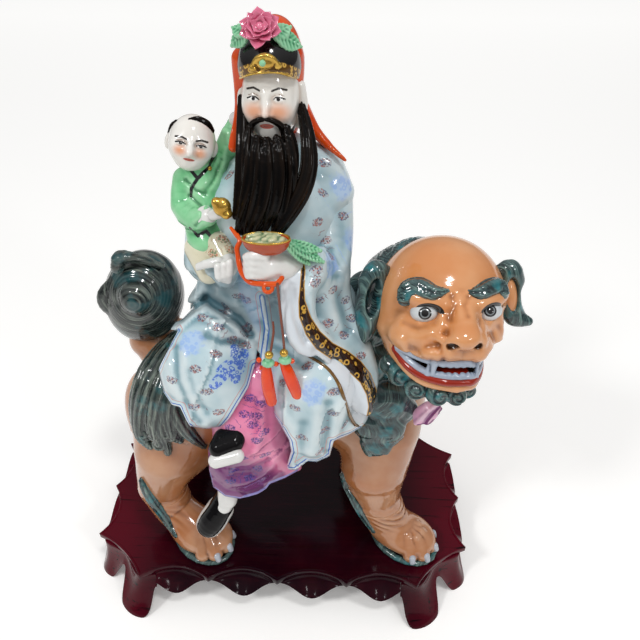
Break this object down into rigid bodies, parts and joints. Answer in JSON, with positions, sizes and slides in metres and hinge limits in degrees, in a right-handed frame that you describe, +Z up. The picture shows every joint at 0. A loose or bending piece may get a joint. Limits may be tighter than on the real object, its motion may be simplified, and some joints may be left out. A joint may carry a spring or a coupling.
{
  "type": "porcelain figure group on wooden stand",
  "caption": "Porcelain group of a bearded rider with a child seated sideways on a guardian lion, on a scalloped lacquered wooden stand with four bracket legs.",
  "frame": {"origin": "middle of the underside, on the surface that the stand's legs rest on", "axes": "+Z up, +X towards the lion's head, -Y towards the front that the rider and both faces look to"},
  "size_m": [0.3382, 0.2038, 0.4644],
  "materials": {
    "porcelain_glaze": "glossy overglaze enamels",
    "lacquered_wood": "dark red gloss lacquer"
  },
  "bodies": {
    "root": {"porcelain_figure": "porcelain_glaze", "stand_board": "lacquered_wood", "stand_apron_front": "lacquered_wood", "stand_apron_back": "lacquered_wood", "stand_apron_left": "lacquered_wood", "stand_apron_right": "lacquered_wood", "stand_leg_front_left": "lacquered_wood", "stand_leg_front_right": "lacquered_wood", "stand_leg_back_left": "lacquered_wood", "stand_leg_back_right": "lacquered_wood"}
  },
  "joints": []
}
